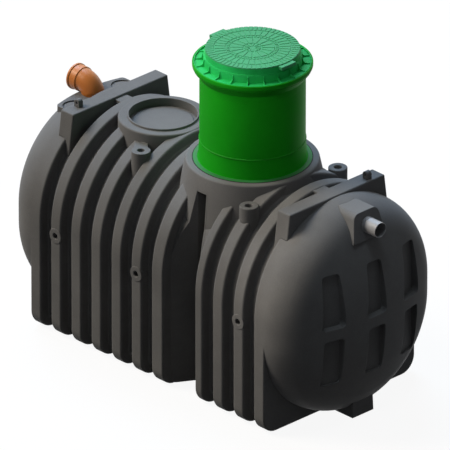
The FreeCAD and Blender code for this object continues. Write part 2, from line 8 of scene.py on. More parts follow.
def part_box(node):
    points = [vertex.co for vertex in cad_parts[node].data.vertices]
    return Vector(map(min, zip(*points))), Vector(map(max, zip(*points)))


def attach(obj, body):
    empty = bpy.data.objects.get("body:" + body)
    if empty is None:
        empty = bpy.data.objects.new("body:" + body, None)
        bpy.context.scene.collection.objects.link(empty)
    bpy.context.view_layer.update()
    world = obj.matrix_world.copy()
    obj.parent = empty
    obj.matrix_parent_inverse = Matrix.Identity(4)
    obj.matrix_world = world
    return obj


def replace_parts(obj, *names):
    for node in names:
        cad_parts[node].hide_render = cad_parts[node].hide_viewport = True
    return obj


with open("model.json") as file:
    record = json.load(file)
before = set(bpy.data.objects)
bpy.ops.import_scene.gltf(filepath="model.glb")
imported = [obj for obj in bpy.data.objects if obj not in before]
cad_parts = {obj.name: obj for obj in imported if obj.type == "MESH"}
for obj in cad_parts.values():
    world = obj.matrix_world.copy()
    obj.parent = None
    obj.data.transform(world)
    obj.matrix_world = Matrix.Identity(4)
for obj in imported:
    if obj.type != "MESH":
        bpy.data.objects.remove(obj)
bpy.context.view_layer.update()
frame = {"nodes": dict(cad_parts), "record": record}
nodes = frame["nodes"]
scene = bpy.context.scene
print("frame loaded with", len(nodes), "nodes")


# camera: a very long lens from far off, since the picture shows no perspective
cameraView = {
    "azimuth": 46.0, "elevation": 26.7, "aim": (0.0104, 0.0108, 0.7772),
    "lens": 1650.0, "sensor": 36.0, "frameWidth": 2.542,
    "clipShares": (0.5, 2.0),  # of the distance to the tank
}


def makeCamera():
    data = bpy.data.cameras.new("plantCamera")
    data.sensor_width = cameraView["sensor"]
    data.lens = cameraView["lens"]
    distance = cameraView["frameWidth"] * data.lens / data.sensor_width
    data.clip_start, data.clip_end = (distance * share for share in cameraView["clipShares"])
    camera = bpy.data.objects.new("plantCamera", data)
    scene.collection.objects.link(camera)
    turn = math.radians(cameraView["azimuth"])
    rise = math.radians(cameraView["elevation"])
    level = math.cos(rise)
    back = Vector((math.sin(turn) * level, -math.cos(turn) * level, math.sin(rise)))
    camera.location = Vector(cameraView["aim"]) + back * distance
    camera.rotation_euler = (-back).to_track_quat("-Z", "Y").to_euler()
    scene.camera = camera


makeCamera()
scene.view_settings.view_transform = "Standard"
print("camera placed")


# small helpers for node trees
def newMaterial(name):
    material = bpy.data.materials.new(name)
    material.use_nodes = True
    tree = material.node_tree
    tree.nodes.clear()
    output = tree.nodes.new("ShaderNodeOutputMaterial")
    return material, tree, output


def addNode(tree, kind, inputs=None, **settings):
    node = tree.nodes.new("ShaderNode" + kind)
    for key, value in settings.items():
        setattr(node, key, value)
    for key, value in (inputs or {}).items():
        node.inputs[key].default_value = value
    return node


def rampNode(tree, stops):
    ramp = tree.nodes.new("ShaderNodeValToRGB")
    for mark, (place, colour) in zip(ramp.color_ramp.elements, stops):
        mark.position = place
        mark.color = (*colour, 1.0)
    return ramp


# studio: warm light from the left and front, cool light from above, white floor and background;
# each narrow softbox lifts one region: the front dome's near flank, the riser, and the dome's
# middle from above
studio = {
    "suns": {
        "keyLamp": {"source": (-0.60, -0.44, 0.67), "colour": (1.0, 0.91, 0.78),
                    "strength": 3.0, "angle": 24.0},
        "topLamp": {"source": (-0.58, 0.30, 0.75), "colour": (0.54, 0.74, 1.0),
                    "strength": 2.95, "angle": 34.0},
        "backLamp": {"source": (-0.25, 0.85, 0.46), "colour": (0.92, 0.96, 1.0),
                     "strength": 0.6, "angle": 60.0},
    },
    "sunDistance": 4.0,  # only for the view in the editor
    "softboxes": {
        "flankBox": {"place": (0.25, -1.75, 1.42), "aim": (1.04, -0.50, 0.92), "size": (0.5, 0.8),
                     "colour": (1.0, 0.90, 0.78), "power": 0.66, "spread": 42.0},
        "riserBox": {"place": (0.70, -2.00, 3.30), "aim": (0.245, -0.20, 1.66), "size": (0.5, 0.5),
                     "colour": (1.0, 0.97, 0.92), "power": 0.62, "spread": 25.0},
        "ledgeBox": {"place": (1.50, -0.55, 2.90), "aim": (1.22, -0.05, 0.62), "size": (0.8, 0.8),
                     "colour": (0.80, 0.92, 1.0), "power": 0.36, "spread": 28.0},
    },
    "skyColour": (0.95, 0.97, 1.0, 1.0), "skyStrength": 0.09,
    "white": (1.0, 1.0, 1.0, 1.0), "whiteStrength": 1.0,
    "floorHalf": 14.0, "floorDrop": 0.0005,
    "floorBounce": (0.04, 0.04, 0.04, 1.0),  # what the object gets back from the floor
    "floorMatte": (0.9, 0.9, 0.9, 1.0), "shadowShare": 0.08,
}


def makeSun(name, lamp):
    data = bpy.data.lights.new(name, "SUN")
    data.color = lamp["colour"]
    data.energy = lamp["strength"]
    data.angle = math.radians(lamp["angle"])
    sun = bpy.data.objects.new(name, data)
    sun.rotation_euler = Vector(lamp["source"]).to_track_quat("Z", "Y").to_euler()
    sun.location = Vector(lamp["source"]) * studio["sunDistance"]
    scene.collection.objects.link(sun)


def makeSoftbox(name, lamp):
    data = bpy.data.lights.new(name, "AREA")
    data.shape = "RECTANGLE"
    data.size, data.size_y = lamp["size"]
    data.color = lamp["colour"]
    data.energy = lamp["power"]
    data.spread = math.radians(lamp["spread"])
    box = bpy.data.objects.new(name, data)
    box.location = lamp["place"]
    back = Vector(lamp["place"]) - Vector(lamp["aim"])
    box.rotation_euler = back.to_track_quat("Z", "Y").to_euler()
    box.visible_camera = False
    scene.collection.objects.link(box)


def seenRays(tree):
    # 1 where the eye looks straight, by a mirror or through glass
    rays = tree.nodes.new("ShaderNodeLightPath")
    first = addNode(tree, "Math", operation="MAXIMUM")
    second = addNode(tree, "Math", operation="MAXIMUM")
    tree.links.new(rays.outputs["Is Camera Ray"], first.inputs[0])
    tree.links.new(rays.outputs["Is Glossy Ray"], first.inputs[1])
    tree.links.new(first.outputs[0], second.inputs[0])
    tree.links.new(rays.outputs["Is Transmission Ray"], second.inputs[1])
    return second.outputs[0]


def mixSeen(tree, unseen, seen, output):
    mix = tree.nodes.new("ShaderNodeMixShader")
    tree.links.new(seenRays(tree), mix.inputs[0])
    tree.links.new(unseen.outputs[0], mix.inputs[1])
    tree.links.new(seen.outputs[0], mix.inputs[2])
    tree.links.new(mix.outputs[0], output.inputs["Surface"])


def makeWorld():
    world = bpy.data.worlds.new("studioWorld")
    world.use_nodes = True
    scene.world = world
    tree = world.node_tree
    tree.nodes.clear()
    light = addNode(tree, "Background",
                    {"Color": studio["skyColour"], "Strength": studio["skyStrength"]})
    white = addNode(tree, "Background",
                    {"Color": studio["white"], "Strength": studio["whiteStrength"]})
    mixSeen(tree, light, white, tree.nodes.new("ShaderNodeOutputWorld"))


def makeFloor():
    material, tree, output = newMaterial("paleFloor")
    bounce = addNode(tree, "BsdfDiffuse", {"Color": studio["floorBounce"]})
    glow = addNode(tree, "Emission",
                   {"Color": studio["white"], "Strength": studio["whiteStrength"]})
    matte = addNode(tree, "BsdfDiffuse", {"Color": studio["floorMatte"]})
    pale = addNode(tree, "MixShader", {"Fac": studio["shadowShare"]})  # white with a faint shadow
    tree.links.new(glow.outputs[0], pale.inputs[1])
    tree.links.new(matte.outputs[0], pale.inputs[2])
    mixSeen(tree, bounce, pale, output)
    half, z = studio["floorHalf"], -studio["floorDrop"]
    corners = [(-half, -half, z), (half, -half, z), (half, half, z), (-half, half, z)]
    mesh = bpy.data.meshes.new("studioFloor")
    mesh.from_pydata(corners, [], [(0, 1, 2, 3)])
    mesh.materials.append(material)
    floor = bpy.data.objects.new("studioFloor", mesh)
    scene.collection.objects.link(floor)


for lampName, lamp in studio["suns"].items():
    makeSun(lampName, lamp)
for lampName, lamp in studio["softboxes"].items():
    makeSoftbox(lampName, lamp)
makeWorld()
makeFloor()
print("studio lit")


# moulded plastics: one recipe with its own colours, grain and gloss for each finish
plasticFinishes = {
    "tank_plastic": {
        "dark": (0.125, 0.125, 0.126), "light": (0.168, 0.168, 0.170), "patch": 3.2,
        "grain": 420.0, "grainDepth": 0.00035, "wave": 9.0, "waveDepth": 0.0012,
        "rough": (0.55, 0.70), "specular": 0.06, "edgeRound": 0.006, "seamAt": 0.950,
    },
    "riser_plastic": {
        "dark": (0.006, 0.252, 0.006), "light": (0.009, 0.312, 0.009), "patch": 4.0,
        "grain": 520.0, "grainDepth": 0.0002, "wave": 7.0, "waveDepth": 0.0006,
        "rough": (0.45, 0.58), "specular": 0.05, "edgeRound": 0.003,
    },
    "lid_plastic": {
        "dark": (0.031, 0.258, 0.098), "light": (0.047, 0.314, 0.129), "patch": 14.0,
        "grain": 600.0, "grainDepth": 0.0003, "wave": 18.0, "waveDepth": 0.0004,
        "rough": (0.50, 0.64), "specular": 0.16, "edgeRound": 0.0015,
    },
    "frame_plastic": {  # a purer green than the lid
        "dark": (0.014, 0.400, 0.085), "light": (0.022, 0.480, 0.118), "patch": 14.0,
        "grain": 600.0, "grainDepth": 0.0003, "wave": 18.0, "waveDepth": 0.0004,
        "rough": (0.50, 0.64), "specular": 0.08, "edgeRound": 0.0015,
    },
    "inlet_plastic": {
        "dark": (0.460, 0.140, 0.022), "light": (0.550, 0.178, 0.034), "patch": 11.0,
        "grain": 700.0, "grainDepth": 0.0001, "wave": 20.0, "waveDepth": 0.0002,
        "rough": (0.34, 0.46), "specular": 0.30, "edgeRound": 0.0015,
    },
    "outlet_plastic": {
        "dark": (0.225, 0.224, 0.232), "light": (0.285, 0.284, 0.292), "patch": 18.0,
        "grain": 700.0, "grainDepth": 0.0001, "wave": 30.0, "waveDepth": 0.0002,
        "rough": (0.40, 0.52), "specular": 0.30, "edgeRound": 0.001,
    },
    "flange_plastic": {
        "dark": (0.024, 0.152, 0.038), "light": (0.033, 0.184, 0.050), "patch": 9.0,
        "grain": 520.0, "grainDepth": 0.0002, "wave": 12.0, "waveDepth": 0.0003,
        "rough": (0.50, 0.62), "specular": 0.10, "edgeRound": 0.0010,
    },
    "riser_seam": {
        "dark": (0.0075, 0.205, 0.008), "light": (0.0105, 0.239, 0.011), "patch": 9.0,
        "grain": 520.0, "grainDepth": 0.0001, "wave": 12.0, "waveDepth": 0.0002,
        "rough": (0.40, 0.52), "specular": 0.05, "edgeRound": 0.0005,
    },
    "seal_rubber": {
        "dark": (0.010, 0.010, 0.011), "light": (0.022, 0.022, 0.023), "patch": 22.0,
        "grain": 900.0, "grainDepth": 0.0002, "wave": 40.0, "waveDepth": 0.0003,
        "rough": (0.60, 0.78), "specular": 0.15, "edgeRound": 0.0008,
    },
}
# what all the finishes share
plasticRecipe = {
    "patchNoise": {"Detail": 6.0, "Roughness": 0.62}, "patchShare": 0.65,
    "fleckNoise": {"Detail": 3.0, "Roughness": 0.7}, "fleckShare": 0.35,
    "fleckScale": 0.35,  # of the grain's scale
    "grainNoise": {"Detail": 2.0, "Roughness": 0.5}, "grainBump": 0.5,
    "waveNoise": {"Detail": 2.0, "Roughness": 0.4}, "waveBump": 0.6,
    "toneRange": (0.36, 0.66), "glossRange": (0.3, 0.7), "edgeSamples": 6, "seamHalf": 0.012,
}


def noiseNode(tree, where, kind, scale):
    noise = addNode(tree, "TexNoise", {"Scale": scale, **plasticRecipe[kind]})
    tree.links.new(where, noise.inputs["Vector"])
    return noise


def edgeNode(tree, where, finish):
    edge = tree.nodes.new("ShaderNodeBevel")
    edge.samples = plasticRecipe["edgeSamples"]
    edge.inputs["Radius"].default_value = finish["edgeRound"]
    if "seamAt" in finish:  # the domes run on from the end ribs without an edge
        split = addNode(tree, "SeparateXYZ")
        tree.links.new(where, split.inputs[0])
        side = addNode(tree, "Math", operation="ABSOLUTE")
        tree.links.new(split.outputs["X"], side.inputs[0])
        atSeam = addNode(tree, "Math", {1: finish["seamAt"], 2: plasticRecipe["seamHalf"]},
                         operation="COMPARE")
        tree.links.new(side.outputs[0], atSeam.inputs[0])
        reach = addNode(tree, "MapRange", {"To Min": finish["edgeRound"], "To Max": 0.0})
        tree.links.new(atSeam.outputs[0], reach.inputs["Value"])
        tree.links.new(reach.outputs["Result"], edge.inputs["Radius"])
    return edge


def plasticMaterial(name, finish):
    material, tree, output = newMaterial(name)
    links = tree.links
    shader = addNode(tree, "BsdfPrincipled", {"Specular IOR Level": finish["specular"]})
    where = tree.nodes.new("ShaderNodeTexCoord").outputs["Object"]
    patch = noiseNode(tree, where, "patchNoise", finish["patch"])
    fleck = noiseNode(tree, where, "fleckNoise", finish["grain"] * plasticRecipe["fleckScale"])
    grain = noiseNode(tree, where, "grainNoise", finish["grain"])
    wave = noiseNode(tree, where, "waveNoise", finish["wave"])
    # cloudy tone with a fine fleck over it
    share = addNode(tree, "Math", {1: plasticRecipe["patchShare"]}, operation="MULTIPLY")
    tone = addNode(tree, "Math", {1: plasticRecipe["fleckShare"]}, operation="MULTIPLY_ADD")
    links.new(patch.outputs["Fac"], share.inputs[0])
    links.new(fleck.outputs["Fac"], tone.inputs[0])
    links.new(share.outputs[0], tone.inputs[2])
    darkAt, lightAt = plasticRecipe["toneRange"]
    colour = rampNode(tree, [(darkAt, finish["dark"]), (lightAt, finish["light"])])
    links.new(tone.outputs[0], colour.inputs["Fac"])
    links.new(colour.outputs["Color"], shader.inputs["Base Color"])
    glossFrom, glossTo = plasticRecipe["glossRange"]
    smooth, rough = finish["rough"]
    gloss = addNode(tree, "MapRange", {"From Min": glossFrom, "From Max": glossTo,
                                       "To Min": smooth, "To Max": rough})
    links.new(patch.outputs["Fac"], gloss.inputs["Value"])
    links.new(gloss.outputs["Result"], shader.inputs["Roughness"])
    # rounded look on moulded edges, then slow waviness, then grain
    edge = edgeNode(tree, where, finish)
    slow = addNode(tree, "Bump", {"Strength": plasticRecipe["waveBump"],
                                  "Distance": finish["waveDepth"]})
    fine = addNode(tree, "Bump", {"Strength": plasticRecipe["grainBump"],
                                  "Distance": finish["grainDepth"]})
    links.new(wave.outputs["Fac"], slow.inputs["Height"])
    links.new(edge.outputs["Normal"], slow.inputs["Normal"])
    links.new(grain.outputs["Fac"], fine.inputs["Height"])
    links.new(slow.outputs["Normal"], fine.inputs["Normal"])
    links.new(fine.outputs["Normal"], shader.inputs["Normal"])
    links.new(shader.outputs[0], output.inputs["Surface"])
    return material


def camelName(name):
    words = name.split("_")
    return words[0] + "".join(word.capitalize() for word in words[1:])


materials = {}
for slot, finish in plasticFinishes.items():
    materials[slot] = plasticMaterial(camelName(slot), finish)
nodeSlots = {sub["node"]: sub["material_slot"] for sub in frame["record"]["subparts"]}
for node, slot in nodeSlots.items():
    mesh = nodes[node].data
    mesh.materials.clear()
    mesh.materials.append(materials[slot])
print("plastics made and given to the nodes")


# helpers for the pieces made here; slot is the CAD's name, look the finish where it differs
def finishPiece(name, build, slot, look=None, sharpAngle=30.0, weighted=False):
    bmesh.ops.recalc_face_normals(build, faces=build.faces)
    for face in build.faces:
        face.smooth = True
    limit = math.radians(sharpAngle)
    for edge in build.edges:
        if len(edge.link_faces) == 2 and edge.calc_face_angle(0.0) > limit:
            edge.smooth = False
    mesh = bpy.data.meshes.new(name)
    build.to_mesh(mesh)
    build.free()
    mesh.materials.append(materials[look or slot])
    piece = bpy.data.objects.new(name, mesh)
    scene.collection.objects.link(piece)
    if weighted:
        normals = piece.modifiers.new("evenNormals", "WEIGHTED_NORMAL")
        normals.keep_sharp = True
    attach(piece, "root")
    return piece


def cleanBuild(build, samePoint=0.00001, shortEdge=0.00001):
    bmesh.ops.remove_doubles(build, verts=build.verts, dist=samePoint)
    bmesh.ops.dissolve_degenerate(build, dist=shortEdge, edges=build.edges)


def bridgeRings(build, here, there):
    for i in range(len(here)):
        j = (i + 1) % len(here)
        build.faces.new((here[i], here[j], there[j], there[i]))


def roundEdges(build, edges, width, steps):
    bmesh.ops.bevel(build, geom=edges, offset=width, offset_type="OFFSET", segments=steps,
                    profile=0.5, affect="EDGES", clamp_overlap=True)


def turnedBuild(profile, centre, along="Z", steps=160):
    # a closed profile of (radius, place) points turned about an upright or a lengthwise axis
    build = bmesh.new()
    rings = []
    for i in range(steps):
        angle = 2 * math.pi * i / steps
        a, b = math.cos(angle), math.sin(angle)
        ring = []
        for radius, place in profile:
            offset = (radius * a, radius * b, place)
            if along == "X":
                offset = (place, radius * a, radius * b)
            ring.append(build.verts.new(Vector(centre) + Vector(offset)))
        rings.append(ring)
    count = len(profile)
    for i in range(steps):
        here, there = rings[i], rings[(i + 1) % steps]
        for j in range(count):
            k = (j + 1) % count
            if profile[j][0] > 0.0 or profile[k][0] > 0.0:
                build.faces.new((here[j], there[j], there[k], here[k]))
    cleanBuild(build)  # closes the fans on the axis
    return build


def ringPiece(name, profile, slot, look, centre, along="Z", steps=160):
    return finishPiece(name, turnedBuild(profile, centre, along, steps), slot, look)


def roundCorners(profile, rounds, steps=4):
    # replaces the corners listed in rounds, by their number, with arcs of that radius
    points = []
    for i, here in enumerate(profile):
        if i not in rounds:
            points.append(here)
            continue
        corner = Vector(here)
        before = (Vector(profile[i - 1]) - corner).normalized()
        after = (Vector(profile[(i + 1) % len(profile)]) - corner).normalized()
        half = before.angle(after) / 2
        reach = rounds[i] / math.tan(half)
        middle = corner + (before + after).normalized() * (rounds[i] / math.sin(half))
        start = corner + before * reach - middle
        sweep = math.copysign(math.pi - 2 * half, before.angle_signed(after))
        for s in range(steps + 1):
            angle = sweep * s / steps
            a, b = math.cos(angle), math.sin(angle)
            points.append((middle.x + start.x * a - start.y * b,
                           middle.y + start.x * b + start.y * a))
    return points


def boredBody(build, bores):
    # cuts round bores, each (start, end, radius, segments), out of a closed mesh
    blankMesh = bpy.data.meshes.new("blank")
    build.to_mesh(blankMesh)
    build.free()
    blank = bpy.data.objects.new("blank", blankMesh)
    drill = bmesh.new()
    for start, end, radius, segments in bores:
        line = Vector(end) - Vector(start)
        turn = line.to_track_quat("Z", "Y").to_matrix().to_4x4()
        middle = Matrix.Translation((Vector(start) + Vector(end)) / 2) @ turn
        bmesh.ops.create_cone(drill, cap_ends=True, segments=segments, radius1=radius,
                              radius2=radius, depth=line.length, matrix=middle)
    drillMesh = bpy.data.meshes.new("drill")
    drill.to_mesh(drillMesh)
    drill.free()
    cutter = bpy.data.objects.new("drill", drillMesh)
    for item in (blank, cutter):
        scene.collection.objects.link(item)
    cut = blank.modifiers.new("bores", "BOOLEAN")
    cut.operation = "DIFFERENCE"
    cut.solver = "EXACT"
    cut.object = cutter
    depsgraph = bpy.context.evaluated_depsgraph_get()
    shaped = bpy.data.meshes.new_from_object(blank.evaluated_get(depsgraph))
    result = bmesh.new()
    result.from_mesh(shaped)
    for item in (blank, cutter):
        bpy.data.objects.remove(item)
    for mesh in (blankMesh, drillMesh, shaped):
        bpy.data.meshes.remove(mesh)
    return result


mainX, blindX = 0.245, -0.4808  # upright axes of the riser in its neck, and of the blind neck
riserAxis = (mainX, 0.0, 0.0)

# ribbed body: the core's outline pushed outward along its normal by the rib profile
ribbedBody = {
    "coreHalf": 0.536, "coreBottom": 0.059, "coreCorner": 0.041, "archCentre": 0.700,
    "archSteps": 72, "cornerSteps": 8, "sideSteps": 6,
    "ribHeight": 0.059, "ribWidth": 0.084, "narrowRib": 0.060, "rearRibs": 6, "frontRibs": 3,
    "topRound": 0.014, "footRound": 0.012, "roundSteps": 5,
    "bodyEnd": 0.950, "waistRear": 0.098, "lastRibEnd": 0.130, "waistFront": 0.392,
    "joined": 0.001,  # a rib this near to an end runs out into it
    "endRound": 0.010, "endRoundTop": (0.46, 0.60), "waistRound": 0.011,
    "rearEyeRibs": (1, 5), "frontEyeRibs": (-2,),
    "eyeZ": 0.645, "eyeRadius": 0.018, "eyeDepth": 0.040, "eyeStart": 0.02, "eyeSteps": 48,
    "blindBore": 0.225, "mainBore": 0.330, "boreHeights": (1.0, 1.6), "boreSteps": 128,
    "samePoint": 0.00002, "flatEnd": 0.99, "sharpAngle": 50.0,
}


def coreOutline():
    # (y, z) and the outward normal, from the far bottom corner over the arch to the near one
    half, corner = ribbedBody["coreHalf"], ribbedBody["coreCorner"]
    flatHalf = half - corner
    cornerZ = ribbedBody["coreBottom"] + corner
    archZ = ribbedBody["archCentre"]
    sideSteps = ribbedBody["sideSteps"]
    points = []

    def arcPoints(cy, cz, radius, start, end, steps):
        for i in range(steps + 1):
            angle = math.radians(start + (end - start) * i / steps)
            a, b = math.cos(angle), math.sin(angle)
            points.append((cy + radius * a, cz + radius * b, a, b))

    arcPoints(flatHalf, cornerZ, corner, -90, 0, ribbedBody["cornerSteps"])
    for i in range(1, sideSteps):
        points.append((half, cornerZ + (archZ - cornerZ) * i / sideSteps, 1.0, 0.0))
    arcPoints(0.0, archZ, half, 0, 180, ribbedBody["archSteps"])
    for i in range(1, sideSteps):
        points.append((-half, archZ + (cornerZ - archZ) * i / sideSteps, -1.0, 0.0))
    arcPoints(-flatHalf, cornerZ, corner, 180, 270, ribbedBody["cornerSteps"])
    return points


def quarterTurn():
    steps = ribbedBody["roundSteps"]
    return [math.pi / 2 * i / steps for i in range(steps + 1)]


def ribProfile(spans, low, high):
    # (x, height over the core) points along the body
    height, joined = ribbedBody["ribHeight"], ribbedBody["joined"]
    top, foot = ribbedBody["topRound"], ribbedBody["footRound"]
    shoulder = height - top
    turn = [(math.cos(t), math.sin(t)) for t in quarterTurn()]
    profile = []
    for start, end in spans:
        if start > low + joined:
            profile += [(start - foot + foot * b, foot - foot * a) for a, b in turn]
            profile += [(start + top - top * a, shoulder + top * b) for a, b in turn]
        else:
            profile.append((start, height))
        if end < high - joined:
            profile += [(end - top + top * b, shoulder + top * a) for a, b in turn]
            profile += [(end + foot - foot * a, foot - foot * b) for a, b in turn]
        else:
            profile.append((end, height))
    return profile


def raisedRow(outline, x, rise):
    return [(x, y + rise * ny, z + rise * nz) for y, z, ny, nz in outline]


def domeEndRows(outline, endSide):
    # the outer end is rounded only below the dome's widest part
    endX, height = endSide * ribbedBody["bodyEnd"], ribbedBody["ribHeight"]
    roundLow, roundHigh = ribbedBody["endRoundTop"]
    rows = []
    for angle in quarterTurn():
        row = []
        for y, z, ny, nz in outline:
            share = min(1.0, max(0.0, (roundHigh - z) / (roundHigh - roundLow)))
            radius = ribbedBody["endRound"] * share
            rise = height - radius + radius * math.cos(angle)
            x = endX - endSide * (radius - radius * math.sin(angle))
            row.append((x, y + rise * ny, z + rise * nz))
        rows.append(row)
    return rows


def waistEndRows(outline, waistX, endSide):
    # the waist end drops to the core
    top, height = ribbedBody["waistRound"], ribbedBody["ribHeight"]
    rows = []
    for angle in quarterTurn():
        x = waistX + endSide * (top - top * math.sin(angle))
        rows.append(raisedRow(outline, x, height - top + top * math.cos(angle)))
    rows.append(raisedRow(outline, waistX, 0.0))
    return rows


def makeRibbedBody(name, spans, low, high, endSide, bores):
    outline = coreOutline()
    ribRows = [raisedRow(outline, x, rise) for x, rise in ribProfile(spans, low, high)][1:-1]
    endRows = domeEndRows(outline, endSide)
    if endSide < 0:
        rows = endRows[::-1] + ribRows + waistEndRows(outline, high, endSide)
    else:
        rows = waistEndRows(outline, low, endSide)[::-1] + ribRows + endRows
    build = bmesh.new()
    grid = [[build.verts.new(point) for point in row] for row in rows]
    for here, there in zip(grid, grid[1:]):
        bridgeRings(build, here, there)
    build.faces.new(grid[0])
    build.faces.new(grid[-1])
    cleanBuild(build, ribbedBody["samePoint"])
    bmesh.ops.recalc_face_normals(build, faces=build.faces)
    body = boredBody(build, bores)
    for face in body.faces:  # the flat ends keep out of the sides' shading
        if len(face.verts) > len(outline) // 2 and abs(face.normal.x) > ribbedBody["flatEnd"]:
            for edge in face.edges:
                edge.smooth = False
    return finishPiece(name, body, "tank_plastic", sharpAngle=ribbedBody["sharpAngle"],
                       weighted=True)


def ribSpans():
    end, width, narrow = ribbedBody["bodyEnd"], ribbedBody["ribWidth"], ribbedBody["narrowRib"]
    waistRear, waistFront = ribbedBody["waistRear"], ribbedBody["waistFront"]
    rearRibs, frontRibs = ribbedBody["rearRibs"], ribbedBody["frontRibs"]
    rearPitch = (waistRear + end - narrow) / rearRibs
    frontPitch = (end - waistFront - narrow) / frontRibs
    rear = [(i * rearPitch - end, i * rearPitch - end + width) for i in range(rearRibs)]
    rear.append((waistRear - narrow, ribbedBody["lastRibEnd"]))  # runs on into the waist
    front = [(waistFront, waistFront + narrow)]
    for i in reversed(range(frontRibs)):
        front.append((end - i * frontPitch - width, end - i * frontPitch))
    return rear, front


def eyeBores(carriers):
    # eyes on both sides of the carrying ribs
    z, radius, steps = ribbedBody["eyeZ"], ribbedBody["eyeRadius"], ribbedBody["eyeSteps"]
    face = ribbedBody["coreHalf"] + ribbedBody["ribHeight"]
    inner, outer = face - ribbedBody["eyeDepth"], face + ribbedBody["eyeStart"]
    bores = []
    for start, end in carriers:
        x = (start + end) / 2
        for side in (-1, 1):
            bores.append(((x, side * inner, z), (x, side * outer, z), radius, steps))
    return bores


def neckBore(centreX, radius):
    low, high = ribbedBody["boreHeights"]
    return ((centreX, 0.0, low), (centreX, 0.0, high), radius, ribbedBody["boreSteps"])


rearSpans, frontSpans = ribSpans()
shellParts = ("floor", "near_wall", "far_wall", "near_haunch", "far_haunch", "crown")
mainBore = neckBore(mainX, ribbedBody["mainBore"])
rearBores = eyeBores([rearSpans[i] for i in ribbedBody["rearEyeRibs"]])
rearBores += [neckBore(blindX, ribbedBody["blindBore"]), mainBore]
rearBody = makeRibbedBody("rearRibbedBody", rearSpans, -ribbedBody["bodyEnd"],
                          ribbedBody["lastRibEnd"], -1, rearBores)
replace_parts(rearBody, *["rear_" + part for part in shellParts])
frontBores = eyeBores([frontSpans[i] for i in ribbedBody["frontEyeRibs"]]) + [mainBore]
frontBody = makeRibbedBody("frontRibbedBody", frontSpans, ribbedBody["waistFront"],
                           ribbedBody["bodyEnd"], 1, frontBores)
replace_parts(frontBody, *["front_" + part for part in shellParts])
print("ribbed body made:", len(rearBody.data.polygons) + len(frontBody.data.polygons), "faces")


# lid: a plate with two ears on a deeper green skirt that ends in a thin rim
lidPlate = {
    "plate": ((0.0, 1.980), (0.2675, 1.980), (0.2680, 1.9745), (0.2600, 1.9745),
              (0.2600, 1.968), (0.0, 1.968)),
    "plateRounds": {1: 0.0022},
    "skirt": ((0.2600, 1.9385), (0.2760, 1.9385), (0.2760, 1.9425), (0.2705, 1.9425),
              (0.2684, 1.9752), (0.2600, 1.9752)),
    "skirtRounds": {1: 0.0012, 2: 0.0012},
    "earInner": 0.254, "earOuter": 0.294, "earHalf": 0.055, "earLow": 1.9575, "earHigh": 1.9770,
    "earRound": 0.0022, "earRoundSteps": 3,
}


def makeLid():
    inner, outer = lidPlate["earInner"], lidPlate["earOuter"]
    low, high = lidPlate["earLow"], lidPlate["earHigh"]
    size = Matrix.Diagonal((outer - inner, 2 * lidPlate["earHalf"], high - low, 1.0))
    build = turnedBuild(roundCorners(lidPlate["plate"], lidPlate["plateRounds"]), riserAxis)
    for side in (-1, 1):
        middle = (mainX + side * (inner + outer) / 2, 0.0, (low + high) / 2)
        ear = bmesh.ops.create_cube(build, size=1.0, matrix=Matrix.Translation(middle) @ size)
        edges = {edge for vert in ear["verts"] for edge in vert.link_edges}
        roundEdges(build, list(edges), lidPlate["earRound"], lidPlate["earRoundSteps"])
    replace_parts(finishPiece("lid", build, "lid_plastic", weighted=True), "lid")
    skirt = roundCorners(lidPlate["skirt"], lidPlate["skirtRounds"])
    ringPiece("lidSkirt", skirt, "lid_plastic", "frame_plastic", riserAxis)


makeLid()


# lid frame: ring with an upright wall, an outer lip and hollow-backed gussets between the two
lidFrame = {
    "profile": ((0.262, 1.861), (0.3325, 1.861), (0.3325, 1.902), (0.3265, 1.902),
                (0.3265, 1.894), (0.2790, 1.894), (0.2780, 1.938), (0.262, 1.938)),
    "rounds": {2: 0.0018, 3: 0.0018, 6: 0.0016},
    "gussets": 20, "gussetTurn": 0.25, "gussetHalf": 0.0028, "gussetFoot": 1.8930,
    "gussetCurve": ((0.2775, 1.9355), (0.2822, 1.9320), (0.2840, 1.9220), (0.2865, 1.9130),
                    (0.2910, 1.9065), (0.2985, 1.9025), (0.3100, 1.9005), (0.3275, 1.9000)),
}


def makeLidFrame():
    centre = Vector(riserAxis)
    build = turnedBuild(roundCorners(lidFrame["profile"], lidFrame["rounds"]), centre)
    curve, foot = list(lidFrame["gussetCurve"]), lidFrame["gussetFoot"]
    outline = curve + [(curve[-1][0], foot), (curve[0][0], foot)]
    half, count = lidFrame["gussetHalf"], lidFrame["gussets"]
    for i in range(count):
        turn = Matrix.Rotation((i + lidFrame["gussetTurn"]) * 2 * math.pi / count, 3, "Z")
        sides = []
        for y in (-half, half):
            corners = [centre + turn @ Vector((radius, y, z)) for radius, z in outline]
            sides.append([build.verts.new(corner) for corner in corners])
        for side in sides:
            build.faces.new(side)
        bridgeRings(build, *sides)
    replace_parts(finishPiece("lidFrame", build, "lid_plastic", "frame_plastic"), "lid_frame")


makeLidFrame()
print("lid and frame made")


# lid tread: rings of low radial bars with narrow grooves between them
lidTread = {
    "baseZ": 1.9795, "height": 0.0030, "groove": 0.0045, "taper": 0.0012,
    # inner and outer radius and number of bars, the hub last; every other ring is half a bar on
    "rings": ((0.054, 0.126, 16), (0.131, 0.149, 44), (0.154, 0.215, 36), (0.220, 0.268, 60),
              (0.018, 0.048, 12)),
}


def treadBar(build, inner, outer, start, end):
    groove, low = lidTread["groove"] / 2, lidTread["baseZ"]
    rings = []
    for z, shrink in ((low, 0.0), (low + lidTread["height"], lidTread["taper"])):
        corners = []
        for radius, edge, side in ((inner + shrink, start, 1), (outer - shrink, start, 1),
                                   (outer - shrink, end, -1), (inner + shrink, end, -1)):
            angle = edge + side * (groove + shrink) / radius
            place = (mainX + radius * math.cos(angle), radius * math.sin(angle), z)
            corners.append(build.verts.new(place))
        rings.append(corners)
    bridgeRings(build, *rings)
    build.faces.new(rings[1])


